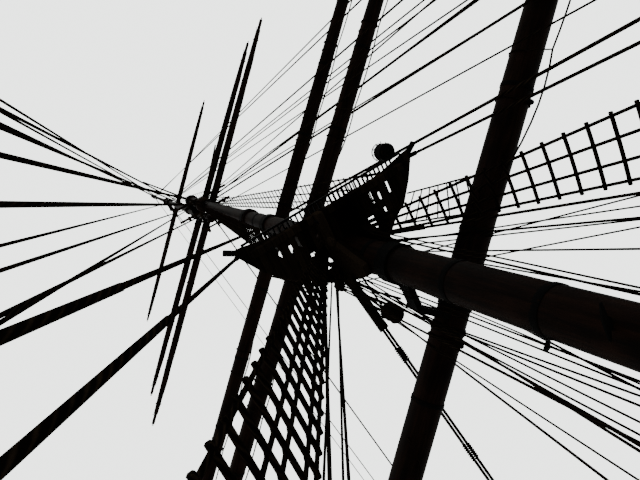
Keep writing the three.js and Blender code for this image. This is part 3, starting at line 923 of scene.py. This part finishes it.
def hounds():
    # collars, eyes and hanging gear about the lower masthead and the top
    look = {"collars": ((9.76, 0.045), (9.87, 0.045), (9.97, 0.04)), "ladder": 7.0,
            "sling": ((0.44, 0.34, 8.7), (0.62, 0.2, 8.2), (0.72, 0.06, 7.74)),
            "pendants": (([(0.38, 0.1, 8.9), (1.0, 0.03, 8.8), (1.29, 0, 8.76)], 0.02),
                         ([(0.38, 0.36, 8.9), (0.8, 0.25, 8.5), (1.01, 0.2, 8.26)], 0.018)),
            "horn": ((-1.05, 1.93, 9.08), (-1.13, 2.06, 9.08), (-1.15, 2.09, 9.08)),
            "tackle": ((0.09, 0.45, 8.95), (0.61, 4.9, 0.6))}

    def mirrored(points, hand):
        return [(x, hand * y, z) for x, y, z in points]

    collars = [([(0.1 + 0.36 * cos(t), 0.33 * sin(t), z + 0.05 * cos(t))
                 for t in turns(24, True)], radius) for z, radius in look["collars"]]
    ropes("shroud_collars", collars, sides=10)
    hoops("hounds_band", "pole", (9.55, 10.17), 0.14, 1.02)
    eyes = [((0.3, y, 9.55), (1, y * 3, 0), 0.12) for y in (-0.1, 0.1)]
    eyes += [((x, y, 8.68), (0, 0, -1), 0.11) for x in (0.38, -0.9) for y in (-1.4, -0.5, 0.5, 1.4)
             if abs(y) < 0.6 or x < 0]
    fittings("top_eyes", "eye", eyes, "iron")
    ropes("truss_slings", [(mirrored(look["sling"], hand), 0.022) for hand in (1, -1)], "iron")
    ropes("top_pendants", look["pendants"])
    fittings("top_bucket", "bucket", [((1.27, 0, 8.5), (-0.2, 0.1, 1), 0.46)], "timber")
    blocks = [((1.01, 0.2, 8.05), (0, 0, 1), 0.34)]
    blocks += [(spot, (0, 0, 1), 0.24) for spot in ((0.3, 0.48, 8.42), (0.3, -0.48, 8.42), (-0.55, 0.5, 8.4),
                                                    (-0.55, -0.5, 8.4))]
    fittings("top_blocks", "block", blocks, "timber")
    horns = [(mirrored(look["horn"], hand), 0.055) for hand in (1, -1)]
    ropes("top_horns", horns, "iron", sides=12)
    for side, hand in hands.items():
        feet, heads = lowerLegs(side)
        rims = [Vector((0.06, hand * 1.03, 9.04)), Vector((-0.35, hand * 1.54, 9.04))]
        lands = [between(feet[i], heads[i], look["ladder"]) for i in (laddered, -1)]
        runs = [([rim, land], 0.017) for rim, land in zip(rims, lands)]
        runs += [([rim.lerp(land, i / 8) for rim, land in zip(rims, lands)], 0.013) for i in range(1, 8)]
        ropes("top_ladder_" + side, runs, sides=7)
        ropes("pendants_" + side, [(mirrored(look["tackle"], hand), 0.02)])
    bolts = [((x, y, 9.12), (0, 0, 1), 0.045) for x in (-0.95, -0.6, -0.2, 0.2)
             for y in (-1.3, -0.9, 0.9, 1.3) if abs(y) < 1.0 or x < -0.3]
    fittings("top_bolts", "bolt", bolts, "iron")
    print("top fitted")


def upperMast():
    # the gear about the doubling and the crosstrees
    look = {"blocks": ((0.2, 0.35, 20.9), (0.42, 0.2, 20.5), (0.2, 0.75, 21.3), (0.95, 0.3, 21.3),
                       (0.9, 0.2, 23.3), (0.1, 0.3, 23.2)),
            "collars": ((0, 0.225, 20.75), (0, 0.23, 20.83), (0, 0.225, 21.0), (0.62, 0.15, 31.25),
                        (0.62, 0.15, 31.45), (0.62, 0.11, 37.36)),
            "lamp": (-1.18, -1.63)}
    spots = [(x, s * y, z) for x, y, z in look["blocks"] for s in (1, -1)]
    fittings("crosstree_blocks", "block", [(spot, (0, 0, 1), 0.26) for spot in spots], "timber")
    pendants = []
    for x, y, z in spots:
        top = 21.62 if z < 22 else 23.62
        pendants.append(([(x * 0.9 + 0.05, y * 0.9, top), (x, y, z + 0.15)], 0.015))
    ropes("crosstree_pendants", pendants, sides=6)
    hoops("doubling_hoops", "pole", (20.55, 20.95, 21.05, 22.0), 0.12, 1.06)
    hoops("masthead_hoops", "topgallant", (21.9, 23.4, 31.15, 31.55, 37.42), 0.07, 1.05)
    ropes("masthead_collars", [(loop(x, 0, z, r, 20), 0.03) for x, r, z in look["collars"]])
    x, y = look["lamp"]
    ribs = [((x, y, z), (0, 0, 1), (0.168, 0.168, 0.03)) for z in (9.33, 9.47, 9.61)]
    fittings("lamp_ribs", "hoop", ribs, "iron")
    guards = [((x + 0.165 * cos(a), y + 0.165 * sin(a), 9.5), (cos(a), sin(a), 0.3), 0.06)
              for a in turns(11)]
    fittings("lamp_guards", "eye", guards, "iron")
    print("mastheads fitted")


# Running rigging, which ends on pins

def fifeRail():
    look = {"beam": ((0.92, -1.5, 0.95), (1.08, 1.5, 1.05)), "posts": (-1.4, -0.5, 0.5, 1.4), "wing": 1.42,
            "pin": 0.38, "pins": (-1.2, -0.9, -0.6, -0.4, -0.3, -0.2, -0.1, 0.1, 0.25, 0.4, 0.6, 0.9, 1.2),
            "wingPins": (-0.5, -0.4, -0.25, 0, 0.25, 0.5, 0.75), "sidePins": 24}
    shells = [box(*look["beam"], 0.015)]
    shells += [box((0.93, y - 0.07, 0), (1.07, y + 0.07, 0.95), 0.012) for y in look["posts"]]
    for y in (look["wing"], -look["wing"]):
        shells.append(box((-0.62, y - 0.07, 0.95), (0.93, y + 0.07, 1.05), 0.015))
        shells.append(box((-0.6, y - 0.06, 0), (-0.47, y + 0.06, 0.95), 0.012))
    piece("fife_rail", merged(shells), "timber")
    spots = [(1.0, y, 1.05) for y in look["pins"]]
    spots += [(x, hand * look["wing"], 1.05) for x in look["wingPins"] for hand in (1, -1)]
    for side, hand in hands.items():
        for x in [0.5 - 0.28 * i for i in range(look["sidePins"])]:
            if min(abs(x - foot) for foot in lowerFeet[side]) > 0.1:
                spots.append((x, hand * 4.85, 0.61))
    fittings("belaying_pins", "pin", [(spot, (0, 0, 1), look["pin"]) for spot in spots], "iron")
    print("pins in their rails")


def runningLines():
    # falls from under the top to the fife rail, and halyards from the mastheads to the rails
    look = {"fall": 0.014, "fine": 0.011, "halyard": 0.018, "block": 0.19, "wing": 1.42, "side": 4.85,
            "top": 8.9, "fife": 1.12, "rail": 0.68}
    # each fall is its head's x and y, then where it lands along its rail
    fore = ((0.15, -0.32, 0.1), (0.4, -0.15, -0.6), (0.42, 0.6, -0.3), (0.33, 0.6, -0.1), (0.3, 0.45, 0.4),
            (0.42, 0.3, 0.25), (0.42, -0.3, -0.9))
    wings = ((0.43, 0.3, -0.4), (0.43, 0.15, -0.25), (0.4, 0.62, -0.5), (0.2, 0.5, 0.5))
    high = ((0.35, -0.2, 13.2, -0.2), (0.35, 0.2, 13.2, 0.9), (0.3, -0.25, 15, 0.6),
            (0.35, -0.22, 13.2, -1.2))
    rails = {"port": ((0.15, 0.45, 0.2), (0.2, 0.6, -0.4)),
             "starboard": ((0.15, -0.45, 0.15), (0.42, -0.15, -0.6), (0.16, -0.32, 0.5), (0.4, 0.62, 0.03))}
    halyards = {"port": ((-3.34, 23.5), (-3.46, 20.4), (-3.68, 23.5), (-3.79, 31.4), (-5.3, 23.5),
                         (-5.66, 23.5), (-6.1, 31.4)),
                "starboard": ((-3.36, 20.4), (-3.82, 23.5), (-4.3, 31.4), (-4.48, 23.5), (-4.75, 31.4),
                              (-4.93, 31.4), (-5.2, 23.5), (-6.0, 37.2))}
    mastheads = {20.4: (0.16, 0.2), 23.5: (0.2, 0.2), 31.4: (0.6, 0.13), 37.2: (0.62, 0.09)}
    falls = [((x, y, look["top"]), (1.0, foot, look["fife"])) for x, y, foot in fore]
    falls += [((x, hand * y, look["top"]), (foot, hand * look["wing"], look["fife"]))
              for x, y, foot in wings for hand in (1, -1) if hand > 0 or y > 0.3]
    falls += [((x, y, look["top"]), (foot, hands[side] * look["side"], look["rail"]))
              for side, lines in rails.items() for x, y, foot in lines]
    runs = [([top, foot], look["fall"]) for top, foot in falls]
    runs += [([(x, y, z), (1.0, foot, look["fife"])], look["fine"]) for x, y, z, foot in high]
    for side, lines in halyards.items():
        hand = hands[side]
        for foot, height in lines:
            x, y = mastheads[height]
            land = (foot, hand * look["side"], look["rail"])
            runs.append(([(x, hand * y, height), land], look["halyard"]))
    ropes("running_lines", runs, sides=6)
    blocks = []
    for top, foot in falls:
        ahead = (Vector(top) - Vector(foot)).normalized()
        blocks.append((Vector(top) - ahead * 0.1, ahead, look["block"]))
    fittings("fall_blocks", "block", blocks, "timber")
    print("running lines led")


def camera():
    # up from the floor: turned to its heading, tipped off the plumb and rolled
    view = {"focal": 30.94, "place": (-3.495, 3.434, 0.1), "heading": -44.5, "offPlumb": 25.4, "roll": 16.86}
    lens = bpy.data.cameras.new("camera")
    lens.sensor_width = 36
    lens.lens = view["focal"]
    lens.clip_start = 0.02
    lens.clip_end = 400
    eye = link(bpy.data.objects.new("camera", lens))
    eye.matrix_world = shift(*view["place"])
    for angle, axis in ((view["heading"], "Z"), (view["offPlumb"], "Y"), (-view["roll"], "Z"), (180, "X")):
        eye.matrix_world @= Matrix.Rotation(radians(angle), 4, axis)
    bpy.context.scene.camera = eye


def studio():
    light = {"sky": (0.93, 0.96, 0.93), "skyStrength": 3.2, "sun": 1.6, "sunWidth": 20,
             "sunTurn": (50, 0, 200), "floor": 60}
    world = bpy.data.worlds.new("studio")
    world.use_nodes = True
    background = world.node_tree.nodes["Background"]
    background.inputs["Color"].default_value = (*light["sky"], 1)
    background.inputs["Strength"].default_value = light["skyStrength"]
    bpy.context.scene.world = world
    lamp = bpy.data.lights.new("softSun", "SUN")
    lamp.energy = light["sun"]
    lamp.angle = radians(light["sunWidth"])
    sun = link(bpy.data.objects.new("softSun", lamp))
    sun.rotation_euler = [radians(angle) for angle in light["sunTurn"]]
    half = light["floor"] / 2
    mesh = bpy.data.meshes.new("floor")
    corners = [(-half, -half, 0), (half, -half, 0), (half, half, 0), (-half, half, 0)]
    mesh.from_pydata(corners, [], [(0, 1, 2, 3)])
    mesh.materials.append(floorFinish("paleFloor"))
    link(bpy.data.objects.new("floor", mesh))


camera()
studio()
dressNodes()
print("nodes dressed")
fineMasts()
fineYards()
standing()
foreStays()
hounds()
upperMast()
fifeRail()
runningLines()

total = sum(len(face.vertices) - 2 for made in bpy.context.scene.objects if made.type == "MESH"
            for face in made.data.polygons)
print("triangles in all", total)
